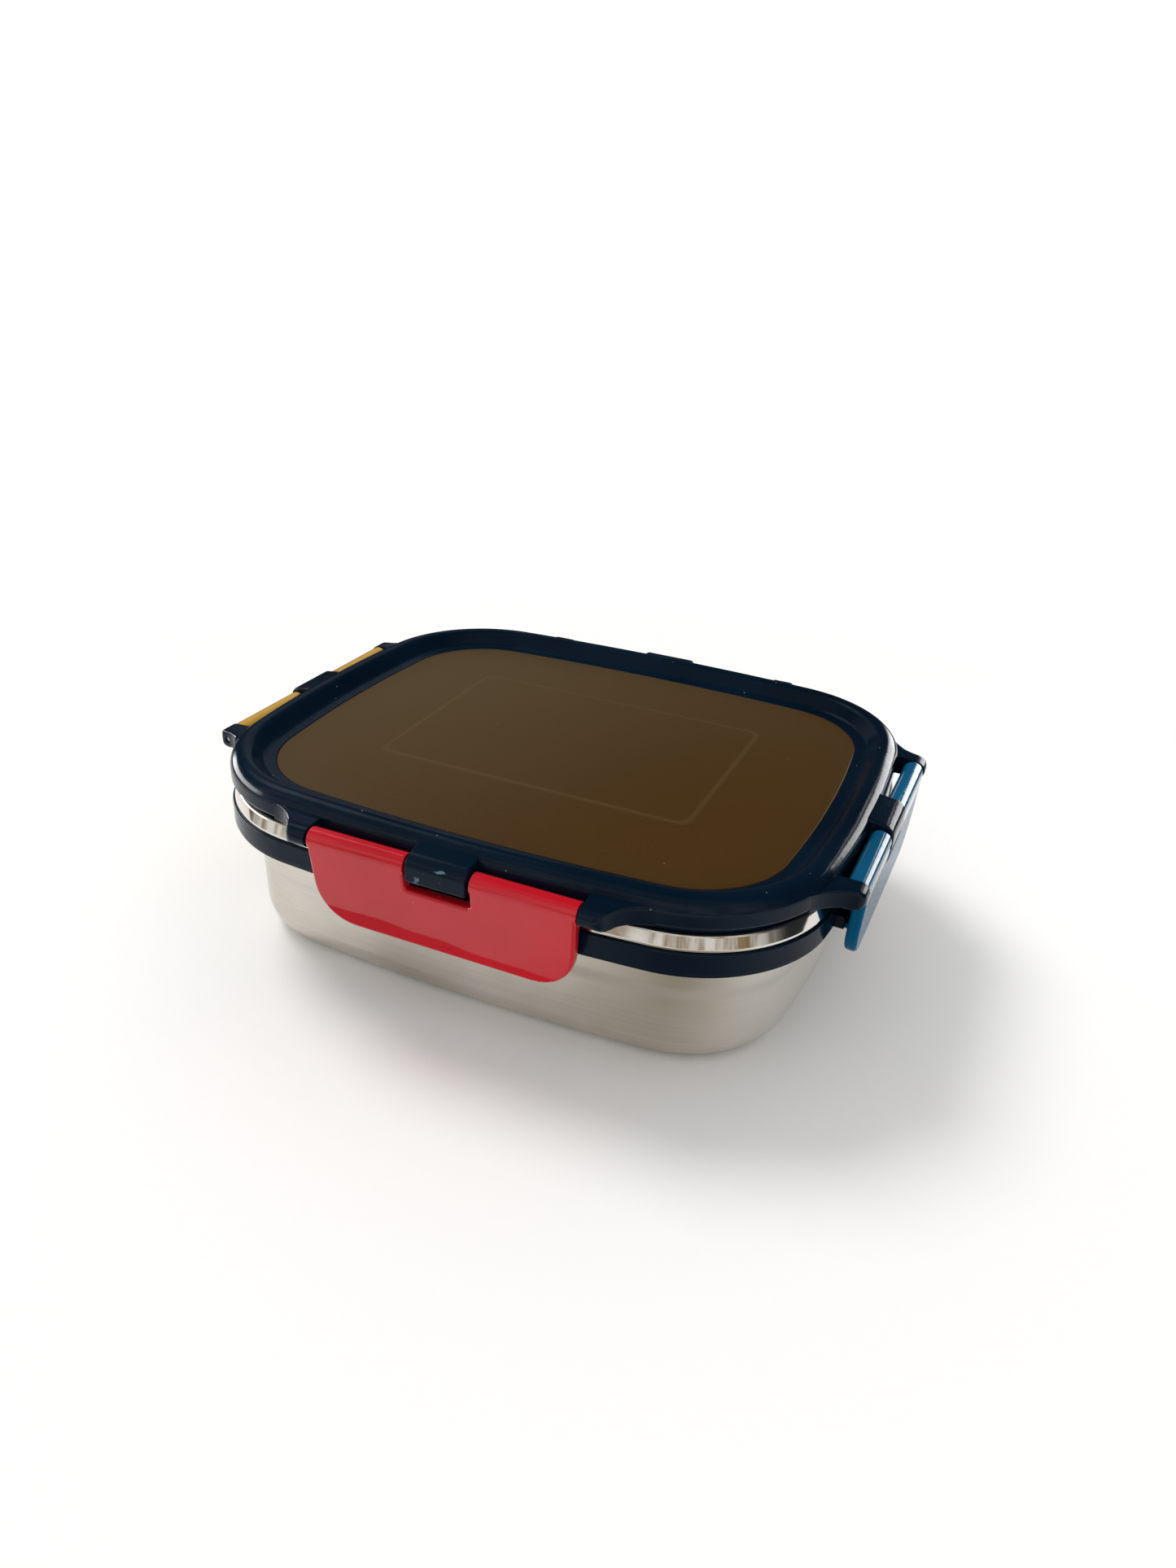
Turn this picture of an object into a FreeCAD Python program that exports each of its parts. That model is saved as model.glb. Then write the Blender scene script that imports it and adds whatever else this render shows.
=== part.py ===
import FreeCAD, Part
import math
import os

Vector = FreeCAD.Vector
centre_point = Vector(0, 0, 0)
up = Vector(0, 0, 1)
same_point = 1e-6

# A closed lunch box: steel tray, plastic collar, framed lid and four hinged latches.
# Millimetres. The origin is on the table under the middle of the box, +X along its length.
# Every ring follows one plan outline, the edge of the lid's window, at some offset outwards.

# Plan of the window: a rectangle with gently bowed sides and round corners
window_half_length = 80.0
window_half_width = 65.0
short_side_bow_radius = 390.0
long_side_bow_radius = 640.0
window_corner_radius = 27.5

# Steel tray
tray_height = 44.7
steel = 0.6
foot_offset = 5.4
wall_rise_below_crease = 0.8
crease_step = 0.5
wall_rise_above_crease = 0.5
base_corner_radius = 9.0
base_rim_width = 1.4
crease_height = 24.4
crease_length = 1.4
crease_radius = 1.5
mouth_radius = 1.2
hem_offset = 12.6
hem_depth = 3.0
hem_radius = 2.2

# Collar under the tray's flange
collar_offset = 13.3
collar_height = 7.3
collar_wall = 2.0
collar_step = 0.4
collar_step_height = 1.4
collar_tray_clearance = 0.1
seat_clearance = 0.05
rail_offset = 14.2
rail_half_length = 34.0
rail_height = 3.8
rail_rounding = 0.8

# Lid frame
lid_rise = 11.8
lid_lip_gap = 0.4
crest_rise = 4.5
ledge_width = 3.4
ledge_slope = 0.2
crest_inner_offset = 7.2
crest_outer_offset = 13.1
crest_radius = 4.4
cove_radius = 3.0
bead_drop = 7.8
bead_rounding = 1.2
lip_offset = 10.3
channel_outer_offset = 9.2
channel_width = 3.0
channel_depth = 5.3
plug_wall = 1.8
plug_depth = 3.7
edge_rounding = 0.35

# Lid window
window_thickness = 2.0
window_crown = 1.5
window_crown_reach = 24.0
window_seat_width = 4.0
window_clearance = 0.08
panel_half_length = 49.5
panel_half_width = 35.0
panel_corner_radius = 4.0
panel_height = 0.3

# Seal between lid and tray
seal_clearance = 0.05

# Latch hinges
hinge_offset = 16.5
hinge_drop = 6.6
barrel_radius = 3.1
pin_radius = 1.0
pin_running_clearance = 0.05
pin_seat_clearance = 0.02
pin_end_wall = 1.2
pin_recess = 0.3
lug_radius = 3.1
lug_thickness = 5.2
lug_end_gap = 0.4
lug_tip_rounding = 2.4
lug_fairing_radius = 8.0
lug_fairing_root = 3.0
lug_rim_depth = 0.9
lug_shoulder_drop = 1.8
knuckle_half_width = 8.8
knuckle_face_reach = 3.3
knuckle_top_reach = 3.9
knuckle_drop = 3.4
knuckle_root_drop = 1.2
knuckle_rounding = 3.6

# Latches
latch_half_width = 39.0
latch_end_taper = 1.4
latch_length = 24.0
latch_lean = 6.5
latch_thickness = 3.4
latch_corner_radius = 12.0
latch_edge_rounding = 1.6
notch_gap = 0.7
notch_depth = 6.2
notch_corner_radius = 1.0
hook_bite = 1.3
hook_height = 2.8
hook_lip = 1.2
hook_clearance = 0.25
hook_half_length = 30.0
hook_rounding = 0.4

# Heights and offsets that follow from the sizes above
crest_height = tray_height + lid_rise
window_level = crest_height - crest_rise
hinge_height = crest_height - hinge_drop
lid_bottom = tray_height + lid_lip_gap
bead_bottom = crest_height - bead_drop
channel_roof = lid_bottom + channel_depth
channel_inner_offset = channel_outer_offset - channel_width
plug_inner_offset = channel_inner_offset - plug_wall
window_seat = window_level - window_thickness
seat_underside = window_seat - plug_wall
crease_top_offset = foot_offset + wall_rise_below_crease + crease_step
wall_top_offset = crease_top_offset + wall_rise_above_crease
hem_bottom = tray_height - hem_depth
collar_top = tray_height - steel - seat_clearance
collar_ledge = hem_bottom - seat_clearance
collar_bottom = collar_ledge - collar_height
lug_inner_face = latch_half_width + lug_end_gap
lug_outer_face = lug_inner_face + lug_thickness
notch_half_width = knuckle_half_width + notch_gap
rail_bottom = collar_bottom

# Sides: turn from +Y to the outward direction, half size there, bow, and the end its pin enters
sides = {
    "front": {"turn": 180.0, "half": window_half_width, "bow": long_side_bow_radius, "entry": 1},
    "right": {"turn": -90.0, "half": window_half_length, "bow": short_side_bow_radius, "entry": -1},
    "back": {"turn": 0.0, "half": window_half_width, "bow": long_side_bow_radius, "entry": 1},
    "left": {"turn": 90.0, "half": window_half_length, "bow": short_side_bow_radius, "entry": -1},
}


def corner_arc(before, here, after, radius):
    # Where a rounded corner starts, passes and ends
    to_before = (before - here).normalize()
    to_after = (after - here).normalize()
    half_angle = to_before.getAngle(to_after) / 2
    inwards = (to_before + to_after).normalize()
    reach = radius / math.tan(half_angle)
    middle = here + inwards * (radius / math.sin(half_angle) - radius)
    return here + to_before * reach, middle, here + to_after * reach


def rounded_face(corners, place):
    # Flat face with corners (p, q, rounding radius), put in space by place(p, q)
    points = [place(p, q) for p, q, rounding in corners]
    spans = []
    for index, (p, q, rounding) in enumerate(corners):
        here = points[index]
        if rounding == 0:
            spans.append((here, here, here))
        else:
            after = points[(index + 1) % len(points)]
            spans.append(corner_arc(points[index - 1], here, after, rounding))
    edges = []
    for index, (start, middle, end) in enumerate(spans):
        if start != end:
            edges.append(Part.Arc(start, middle, end).toShape())
        onward = spans[(index + 1) % len(spans)][0]
        if not end.isEqual(onward, same_point):
            edges.append(Part.LineSegment(end, onward).toShape())
    return Part.Face(Part.Wire(edges))


def corner_centre():
    # Where a corner's arc is centred, so that it meets both bowed sides tangentially
    back_of_short = short_side_bow_radius - window_half_length
    back_of_long = long_side_bow_radius - window_half_width
    to_short = short_side_bow_radius - window_corner_radius
    to_long = long_side_bow_radius - window_corner_radius
    slope = back_of_long / back_of_short
    shift = (to_short ** 2 - to_long ** 2 - back_of_short ** 2 + back_of_long ** 2) / (2 * back_of_short)
    reach = shift + back_of_short
    root = math.sqrt((slope * reach) ** 2 - (1 + slope ** 2) * (reach ** 2 - to_short ** 2))
    corner_y = (root - slope * reach) / (1 + slope ** 2)
    return shift + slope * corner_y, corner_y


def plan_arcs():
    # The outline's eight arcs: centre, radius, start angle and sweep in degrees
    corner_x, corner_y = corner_centre()
    short_x = window_half_length - short_side_bow_radius
    long_y = window_half_width - long_side_bow_radius
    short_end = math.degrees(math.atan2(corner_y, corner_x - short_x))
    long_end = math.degrees(math.atan2(corner_y - long_y, corner_x))
    turn = long_end - short_end
    long_sweep = 180 - 2 * long_end
    return [
        (Vector(short_x, 0, 0), short_side_bow_radius, -short_end, 2 * short_end),
        (Vector(corner_x, corner_y, 0), window_corner_radius, short_end, turn),
        (Vector(0, long_y, 0), long_side_bow_radius, long_end, long_sweep),
        (Vector(-corner_x, corner_y, 0), window_corner_radius, 180 - long_end, turn),
        (Vector(-short_x, 0, 0), short_side_bow_radius, 180 - short_end, 2 * short_end),
        (Vector(-corner_x, -corner_y, 0), window_corner_radius, 180 + short_end, turn),
        (Vector(0, -long_y, 0), long_side_bow_radius, 180 + long_end, long_sweep),
        (Vector(corner_x, -corner_y, 0), window_corner_radius, -long_end, turn),
    ]


def joined(pieces):
    return pieces[0].multiFuse(pieces[1:]).removeSplitter()


def ring(section):
    # Sweep a section of (offset, height, rounding) corners round the outline
    pieces = []
    for centre, radius, start, sweep in plan_arcs():
        face = rounded_face(section, lambda offset, height: Vector(radius + offset, 0, height))
        face.rotate(centre_point, up, start)
        face.translate(centre)
        pieces.append(face.revolve(centre, up, sweep))
    return joined(pieces)


def plan_face(offset, height):
    edges = []
    for centre, radius, start, sweep in plan_arcs():
        stops = []
        for share in (0, 0.5, 1):
            angle = math.radians(start + share * sweep)
            arm = Vector(math.cos(angle), math.sin(angle), 0) * (radius + offset)
            stops.append(centre + arm + up * height)
        edges.append(Part.Arc(*stops).toShape())
    return Part.Face(Part.Wire(edges))


def plate(offset, bottom, top):
    return plan_face(offset, bottom).extrude(up * (top - bottom))


def side_prism(profile, start, end):
    # Profile of (outward, height, rounding) corners, run along the side from start to end
    face = rounded_face(profile, lambda outward, height: Vector(start, outward, height))
    return face.extrude(Vector(end - start, 0, 0))


def front_prism(outline, inner, outer):
    # Outline of (along, height, rounding) corners, run outwards from inner to outer
    face = rounded_face(outline, lambda along, height: Vector(along, inner, height))
    return face.extrude(Vector(0, outer - inner, 0))


def rod(radius, side, start, end):
    # Round bar on a side's hinge axis
    base = Vector(start, side["half"] + hinge_offset, hinge_height)
    return Part.makeCylinder(radius, end - start, base, Vector(1, 0, 0))


def on_side(shape, turn):
    placed = shape.copy()
    placed.rotate(centre_point, up, turn)
    return placed


def steel_tray():
    crease_low = crease_height - crease_length / 2
    crease_high = crease_height + crease_length / 2
    crease_low_offset = crease_top_offset - crease_step
    base_edge = foot_offset - base_corner_radius - base_rim_width
    outside = [
        (base_edge, 0, 0),
        (foot_offset, 0, base_corner_radius),
        (crease_low_offset, crease_low, crease_radius),
        (crease_top_offset, crease_high, crease_radius),
        (wall_top_offset, tray_height - steel, mouth_radius - steel),
        (hem_offset - steel, tray_height - steel, hem_radius - steel),
        (hem_offset - steel, hem_bottom, 0),
    ]
    inside = [
        (hem_offset, hem_bottom, 0),
        (hem_offset, tray_height, hem_radius),
        (wall_top_offset - steel, tray_height, mouth_radius),
        (crease_top_offset - steel, crease_high, crease_radius),
        (crease_low_offset - steel, crease_low, crease_radius),
        (foot_offset - steel, steel, base_corner_radius - steel),
        (base_edge, steel, 0),
    ]
    return joined([ring(outside + inside), plate(base_edge, 0, steel)])


def collar_ring():
    inner = wall_top_offset + collar_tray_clearance
    tongue = hem_offset - steel - seat_clearance
    web = collar_top - collar_wall
    section = [
        (inner, collar_bottom, 0),
        (inner, collar_top, mouth_radius),
        (tongue, collar_top, hem_radius - steel),
        (tongue, collar_ledge, 0),
        (collar_offset, collar_ledge, edge_rounding),
        (collar_offset, collar_bottom + collar_step_height, 0),
        (collar_offset - collar_step, collar_bottom + collar_step_height - collar_step, 0),
        (collar_offset - collar_step, collar_bottom, edge_rounding),
        (collar_offset - collar_wall, collar_bottom, 0),
        (collar_offset - collar_wall, web, 0),
        (inner + collar_wall, web, 0),
        (inner + collar_wall, collar_bottom, 0),
    ]
    pieces = [ring(section)]
    for side in sides.values():
        half = side["half"]
        root = half + inner + collar_wall
        profile = [
            (root, rail_bottom, 0),
            (root, rail_bottom + rail_height, 0),
            (half + rail_offset, rail_bottom + rail_height, rail_rounding),
            (half + rail_offset, rail_bottom, edge_rounding),
        ]
        rail = side_prism(profile, -rail_half_length, rail_half_length)
        pieces.append(on_side(rail, side["turn"]))
    return joined(pieces)


def fairing_centre(side):
    # Centre of the hollow round between a lug and the rim, and the way from the rim to it
    along = lug_outer_face + lug_fairing_radius
    gap = crest_outer_offset + lug_fairing_radius
    corner_x, corner_y = corner_centre()
    corner = Vector(corner_x, corner_y, 0)
    if side["half"] == window_half_length:
        corner = Vector(corner_y, corner_x, 0)
    bow_end = corner.x * (side["bow"] + gap) / (side["bow"] - window_corner_radius)
    if along < bow_end:
        arc_centre = Vector(0, side["half"] - side["bow"], 0)
        radius = side["bow"] + gap
    else:
        arc_centre = corner
        radius = window_corner_radius + gap
    outward = arc_centre.y + math.sqrt(radius ** 2 - (along - arc_centre.x) ** 2)
    centre = Vector(along, outward, 0)
    return centre, (centre - arc_centre).normalize()


def lug(side):
    # Hinge lug at the +X end of a side, faired into the rim
    half = side["half"]
    tip = half + hinge_offset + lug_radius
    root = half + channel_outer_offset
    rim = on_side(plate(crest_outer_offset, lid_bottom, crest_height), -side["turn"])
    channel = on_side(plate(channel_outer_offset + lug_rim_depth, 0, crest_height), -side["turn"])

    def standing(corners):
        face = rounded_face(corners, lambda along, outward: Vector(along, outward, lid_bottom))
        return face.extrude(up * lid_rise)

    finger = standing([
        (lug_inner_face, root, 0),
        (lug_inner_face, tip, edge_rounding),
        (lug_outer_face, tip, lug_tip_rounding),
        (lug_outer_face, root, 0),
    ])
    hollow, way_out = fairing_centre(side)
    foot = hollow - way_out * (lug_fairing_radius + lug_fairing_root)
    fairing = standing([
        (lug_inner_face, foot.y, 0),
        (lug_inner_face, hollow.y, 0),
        (hollow.x, hollow.y, 0),
        (foot.x, foot.y, 0),
    ])
    round_cut = Part.makeCylinder(lug_fairing_radius, crest_height, hollow)
    body = joined([finger.cut(channel), fairing.cut(round_cut).cut(rim)])
    top = crest_height - lug_shoulder_drop
    bottom = hinge_height - lug_radius
    profile = [
        (0, bottom, 0),
        (0, top, 0),
        (half + crest_outer_offset, top, crest_radius),
        (tip, hinge_height + lug_radius, lug_radius),
        (tip, bottom, lug_radius),
    ]
    return body.common(side_prism(profile, lug_inner_face, hollow.x))


def knuckle(side):
    # Middle knuckle: hooks over the barrel line from the rim and holds the pin
    half = side["half"]
    face = half + hinge_offset + knuckle_face_reach
    root = half + channel_outer_offset + lug_rim_depth
    top = hinge_height + knuckle_top_reach
    bottom = hinge_height - knuckle_drop
    profile = [
        (root, bottom, 0),
        (root, crest_height - knuckle_root_drop, 0),
        (face, top, knuckle_rounding),
        (face, bottom, edge_rounding),
    ]
    return side_prism(profile, -knuckle_half_width, knuckle_half_width)


def pin_span(side):
    # Ends of a pin along its side: blind in one lug, just below the face of the other
    blind = lug_outer_face - pin_end_wall
    flush = lug_outer_face - pin_recess
    return (-blind, flush) if side["entry"] > 0 else (-flush, blind)


def pin_bore(side):
    # The lugs' and knuckle's hole: open at the end where the pin goes in
    start, end = pin_span(side)
    through = lug_outer_face + lug_fairing_radius
    start, end = (start, through) if side["entry"] > 0 else (-through, end)
    return rod(pin_radius + pin_seat_clearance, side, start, end)


def lid_frame():
    section = [
        (-window_seat_width, seat_underside, 0),
        (-window_seat_width, window_seat, 0),
        (0, window_seat, 0),
        (0, window_level, edge_rounding),
        (ledge_width, window_level + ledge_slope, cove_radius),
        (crest_inner_offset, crest_height, cove_radius),
        (crest_outer_offset, crest_height, crest_radius),
        (crest_outer_offset, bead_bottom, bead_rounding),
        (lip_offset, bead_bottom - bead_rounding, 0),
        (lip_offset, lid_bottom, edge_rounding),
        (channel_outer_offset, lid_bottom, edge_rounding),
        (channel_outer_offset, channel_roof, 0),
        (channel_inner_offset, channel_roof, 0),
        (channel_inner_offset, tray_height - plug_depth, edge_rounding),
        (plug_inner_offset, tray_height - plug_depth, edge_rounding),
        (plug_inner_offset, seat_underside, plug_wall),
    ]
    pieces = [ring(section)]
    bores = []
    for side in sides.values():
        end_lug = lug(side)
        for piece in (end_lug, end_lug.mirror(centre_point, Vector(1, 0, 0)), knuckle(side)):
            pieces.append(on_side(piece, side["turn"]))
        bores.append(on_side(pin_bore(side), side["turn"]))
    return joined(pieces).cut(bores)


def crown_face(radius):
    # Half section of the window's pillowed border, from its edge in to the flat middle
    def at(offset, height):
        return Vector(radius + offset, 0, height)

    inner = -window_crown_reach
    edge = -window_clearance
    seat = -window_seat_width - window_clearance
    stops = []
    for outer, low in ((edge, window_level), (seat, window_seat)):
        rise = window_crown
        run = outer - inner
        bow = (run ** 2 + rise ** 2) / (2 * rise)
        middle = (outer + inner) / 2
        height = low + rise - bow + math.sqrt(bow ** 2 - (middle - inner) ** 2)
        stops.append((at(outer, low), at(middle, height), at(inner, low + rise)))
    top, under = stops
    edges = [
        Part.Arc(*top).toShape(),
        Part.LineSegment(top[2], under[2]).toShape(),
        Part.Arc(*under).toShape(),
        Part.LineSegment(under[0], at(edge, window_seat)).toShape(),
        Part.LineSegment(at(edge, window_seat), top[0]).toShape(),
    ]
    return Part.Face(Part.Wire(edges))


def lid_window():
    pieces = []
    for centre, radius, start, sweep in plan_arcs():
        face = crown_face(radius)
        face.rotate(centre_point, up, start)
        face.translate(centre)
        pieces.append(face.revolve(centre, up, sweep))
    flat_top = window_level + window_crown
    pieces.append(plate(-window_crown_reach, window_seat + window_crown, flat_top))
    panel = [
        (-panel_half_length, -panel_half_width, panel_corner_radius),
        (panel_half_length, -panel_half_width, panel_corner_radius),
        (panel_half_length, panel_half_width, panel_corner_radius),
        (-panel_half_length, panel_half_width, panel_corner_radius),
    ]
    raised = rounded_face(panel, lambda along, across: Vector(along, across, flat_top - panel_height))
    pieces.append(raised.extrude(up * (2 * panel_height)))
    return joined(pieces)


def lid_seal():
    inner = channel_inner_offset + seal_clearance
    outer = channel_outer_offset - seal_clearance
    top = channel_roof - seal_clearance
    section = [
        (inner, tray_height, edge_rounding),
        (inner, top, edge_rounding),
        (outer, top, edge_rounding),
        (outer, tray_height, edge_rounding),
    ]
    return ring(section)


def latch(side):
    half = side["half"]
    axis = half + hinge_offset
    outer = axis + barrel_radius
    inner = outer - latch_thickness
    barrel_inner = axis - barrel_radius
    top = hinge_height + barrel_radius
    under_barrel = hinge_height - barrel_radius
    bottom = hinge_height - latch_length
    foot = latch_half_width - latch_end_taper
    notch = hinge_height - notch_depth
    profile = [
        (outer, bottom, latch_edge_rounding),
        (outer, top, barrel_radius),
        (barrel_inner, top, barrel_radius),
        (barrel_inner, under_barrel, barrel_radius),
        (inner, under_barrel, 0),
        (inner, bottom, latch_edge_rounding),
    ]
    outline = [
        (-latch_half_width, top, 0),
        (-latch_half_width, hinge_height, 0),
        (-foot, bottom, latch_corner_radius),
        (foot, bottom, latch_corner_radius),
        (latch_half_width, hinge_height, 0),
        (latch_half_width, top, 0),
        (notch_half_width, top, 0),
        (notch_half_width, notch, notch_corner_radius),
        (-notch_half_width, notch, notch_corner_radius),
        (-notch_half_width, top, 0),
    ]
    flap = side_prism(profile, -latch_half_width, latch_half_width)
    flap = flap.common(front_prism(outline, half, outer + latch_thickness))
    flap.rotate(Vector(0, axis, hinge_height), Vector(1, 0, 0), -latch_lean)
    hook_top = rail_bottom - hook_clearance
    lean_at_hook = math.tan(math.radians(latch_lean)) * (hinge_height - hook_top)
    hook_root = inner + latch_edge_rounding - lean_at_hook
    hook_tip = half + rail_offset - hook_bite
    hook = [
        (hook_root, hook_top, 0),
        (hook_tip, hook_top, hook_rounding),
        (hook_tip, hook_top - hook_lip, hook_rounding),
        (hook_root, hook_top - hook_height, 0),
    ]
    ridge = side_prism(hook, -hook_half_length, hook_half_length)
    bore = rod(pin_radius + pin_running_clearance, side, -latch_half_width, latch_half_width)
    return joined([flap, ridge]).cut(bore)


def hinge_pin(side):
    start, end = pin_span(side)
    return rod(pin_radius, side, start, end)


def build():
    nodes = {
        "steel_tray": steel_tray(),
        "collar_ring": collar_ring(),
        "lid_frame": lid_frame(),
        "lid_window": lid_window(),
        "lid_seal": lid_seal(),
    }
    for name, side in sides.items():
        nodes["latch_" + name] = on_side(latch(side), side["turn"])
        nodes["hinge_pin_" + name] = on_side(hinge_pin(side), side["turn"])
    return nodes


os.makedirs("parts", exist_ok=True)
for node, shape in build().items():
    shape.exportStep(os.path.join("parts", node + ".step"))
    print(node, len(shape.Solids), shape.isValid(), round(shape.Volume, 1))
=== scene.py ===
import math

import bpy
from mathutils import Matrix, Vector, geometry


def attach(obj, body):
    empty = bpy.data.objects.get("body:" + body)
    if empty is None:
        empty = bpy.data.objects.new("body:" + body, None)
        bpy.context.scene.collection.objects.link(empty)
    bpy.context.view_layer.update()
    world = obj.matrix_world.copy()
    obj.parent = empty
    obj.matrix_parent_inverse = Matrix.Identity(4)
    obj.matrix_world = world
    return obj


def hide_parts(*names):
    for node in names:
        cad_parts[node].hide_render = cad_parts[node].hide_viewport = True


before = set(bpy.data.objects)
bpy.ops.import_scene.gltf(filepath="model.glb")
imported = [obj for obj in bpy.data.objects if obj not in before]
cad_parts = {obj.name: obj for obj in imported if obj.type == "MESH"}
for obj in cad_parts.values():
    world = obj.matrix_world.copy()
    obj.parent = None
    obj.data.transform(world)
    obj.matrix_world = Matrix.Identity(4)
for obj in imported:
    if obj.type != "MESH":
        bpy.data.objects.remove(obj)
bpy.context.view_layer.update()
mm = 0.001
weld = 0.002  # mm: points nearer than this are one
nearEnd = 0.01  # mm: points this near an end face are on it
print("frame loaded:", len(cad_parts), "nodes")

# outline of the lid's window in plan, in mm: bowed sides and round corners; every ring is set off from it
plan = {
    "halfLength": 80, "halfWidth": 65,
    "shortBow": 390, "longBow": 640, "corner": 27.5,
    "sideSteps": 16, "cornerSteps": 28,
}
arcStep = 11  # degrees per step of a small rounding

# each side's turn from +Y, the outline's half size and bow there, and the end where the pin goes in
sides = {
    "front": {"turn": 180, "half": plan["halfWidth"], "bow": plan["longBow"], "entry": 1},
    "right": {"turn": -90, "half": plan["halfLength"], "bow": plan["shortBow"], "entry": -1},
    "back": {"turn": 0, "half": plan["halfWidth"], "bow": plan["longBow"], "entry": 1},
    "left": {"turn": 90, "half": plan["halfLength"], "bow": plan["shortBow"], "entry": -1},
}

# hinge line of the latches: height, and reach outwards from the outline
hinge = {
    "height": 49.9, "reach": 16.5, "lugInner": 39.4, "lugOuter": 44.6,
    "pin": 1.0, "pinHole": 1.03, "pinEdge": 0.2, "blindEnd": 1.2, "openEnd": 0.3, "holeRun": 9,
    "rodFacets": 40, "rodSharp": 40,
}


def cornerMiddle():
    backShort = plan["shortBow"] - plan["halfLength"]
    backLong = plan["longBow"] - plan["halfWidth"]
    toShort = plan["shortBow"] - plan["corner"]
    toLong = plan["longBow"] - plan["corner"]
    found = geometry.intersect_sphere_sphere_2d((-backShort, 0), toShort, (0, -backLong), toLong)
    return max(found, key=lambda point: point[0] + point[1])


def planArcs():  # centre, sweep and steps of each arc, from the middle of the right side round
    cornerX, cornerY = cornerMiddle()
    shortX = plan["halfLength"] - plan["shortBow"]
    longY = plan["halfWidth"] - plan["longBow"]
    shortEnd = math.atan2(cornerY, cornerX - shortX)
    longEnd = math.atan2(cornerY - longY, cornerX)
    turn = longEnd - shortEnd
    longSweep = math.pi - 2 * longEnd
    side = plan["sideSteps"]
    bend = plan["cornerSteps"]
    return [
        (shortX, 0, shortEnd, side // 2),
        (cornerX, cornerY, turn, bend),
        (0, longY, longSweep, side),
        (-cornerX, cornerY, turn, bend),
        (-shortX, 0, 2 * shortEnd, side),
        (-cornerX, -cornerY, turn, bend),
        (0, -longY, longSweep, side),
        (cornerX, -cornerY, turn, bend),
        (shortX, 0, shortEnd, side // 2),
    ]


def roundedPath(corners, closed=True):  # corners (p, q, rounding) as a run of points with stepped arcs
    path = []
    for index, (p, q, rounding) in enumerate(corners):
        here = Vector((p, q))
        if rounding == 0:
            path.append(here)
            continue
        before = (Vector(corners[index - 1][:2]) - here).normalized()
        after = (Vector(corners[(index + 1) % len(corners)][:2]) - here).normalized()
        half = before.angle(after) / 2
        reach = rounding / math.tan(half)
        middle = here + (before + after).normalized() * rounding / math.sin(half)
        start = here + before * reach - middle
        end = here + after * reach - middle
        steps = max(2, math.ceil((180 - math.degrees(2 * half)) / arcStep))
        path += [middle + start.slerp(end, step / steps) * rounding for step in range(steps + 1)]
    kept = [path[0]]
    for point in path[1:]:
        if (point - kept[-1]).length > weld:
            kept.append(point)
    if closed and (kept[0] - kept[-1]).length < weld:
        kept.pop()
    return kept


def only(piece):  # object mode, this piece alone selected
    if bpy.context.mode != "OBJECT":
        bpy.ops.object.mode_set(mode="OBJECT")
    bpy.ops.object.select_all(action="DESELECT")
    if piece:
        piece.select_set(True)
        bpy.context.view_layer.objects.active = piece


def startPiece(name, place):  # one vertex to draw from: a small plane merged to its middle
    only(None)
    bpy.ops.mesh.primitive_plane_add(size=mm, location=place)
    piece = bpy.context.object
    piece.name = name
    piece.data.name = name
    bpy.ops.object.transform_apply(location=True, rotation=True, scale=True)
    bpy.ops.object.mode_set(mode="EDIT")
    bpy.ops.mesh.select_mode(type="VERT")
    bpy.ops.mesh.select_all(action="SELECT")
    bpy.ops.mesh.merge(type="CENTER")
    return piece


def drawThrough(points):  # extrude the last vertex from point to point
    for here, onward in zip(points, points[1:]):
        bpy.ops.mesh.extrude_region_move(TRANSFORM_OT_translate={"value": onward - here})


def closeUp():  # weld, face outwards, back to object mode
    bpy.ops.mesh.select_all(action="SELECT")
    bpy.ops.mesh.remove_doubles(threshold=weld * mm)
    bpy.ops.mesh.normals_make_consistent(inside=False)
    bpy.ops.object.mode_set(mode="OBJECT")


def spunRing(name, section, closed=True):  # a section of (offset, height, rounding) spun round the outline
    path = roundedPath(section, closed)
    points = [Vector(((plan["halfLength"] + offset) * mm, 0, height * mm)) for offset, height in path]
    piece = startPiece(name, points[0])
    drawThrough(points + points[:1] if closed else points)
    bpy.ops.mesh.select_all(action="SELECT")
    for x, y, sweep, steps in planArcs():
        bpy.ops.mesh.spin(steps=steps, angle=-sweep, center=(x * mm, y * mm, 0), axis=(0, 0, 1))
    bpy.ops.mesh.select_all(action="SELECT")
    bpy.ops.mesh.remove_doubles(threshold=weld * mm)
    if not closed:
        bpy.ops.mesh.fill_holes(sides=0)
    closeUp()
    return piece


def prism(name, outline, place, run):  # an outline drawn through place(p, q), filled and extruded
    points = [place(p, q) for p, q in roundedPath(outline)]
    piece = startPiece(name, points[0])
    drawThrough(points + points[:1])
    bpy.ops.mesh.select_all(action="SELECT")
    bpy.ops.mesh.remove_doubles(threshold=weld * mm)
    bpy.ops.mesh.edge_face_add()
    bpy.ops.mesh.extrude_region_move(TRANSFORM_OT_translate={"value": run})
    closeUp()
    return piece


def sideways(along):  # places a profile (outward, height) across a side
    return lambda outward, height: Vector((along * mm, outward * mm, height * mm))


def fromAbove(height):  # places an outline (along, outward) flat
    return lambda along, outward: Vector((along * mm, outward * mm, height * mm))


def fromFront(outward):  # places an outline (along, height) facing outwards
    return lambda along, height: Vector((along * mm, outward * mm, height * mm))


def combine(piece, other, how):  # Boolean of two closed meshes; the other one is used up
    only(piece)
    bpy.ops.object.modifier_add(type="BOOLEAN")
    joint = piece.modifiers[-1]
    joint.operation = how
    joint.solver = "MANIFOLD"
    joint.object = other
    bpy.ops.object.modifier_apply(modifier=joint.name)
    bpy.data.objects.remove(other, do_unlink=True)
    return piece


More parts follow.
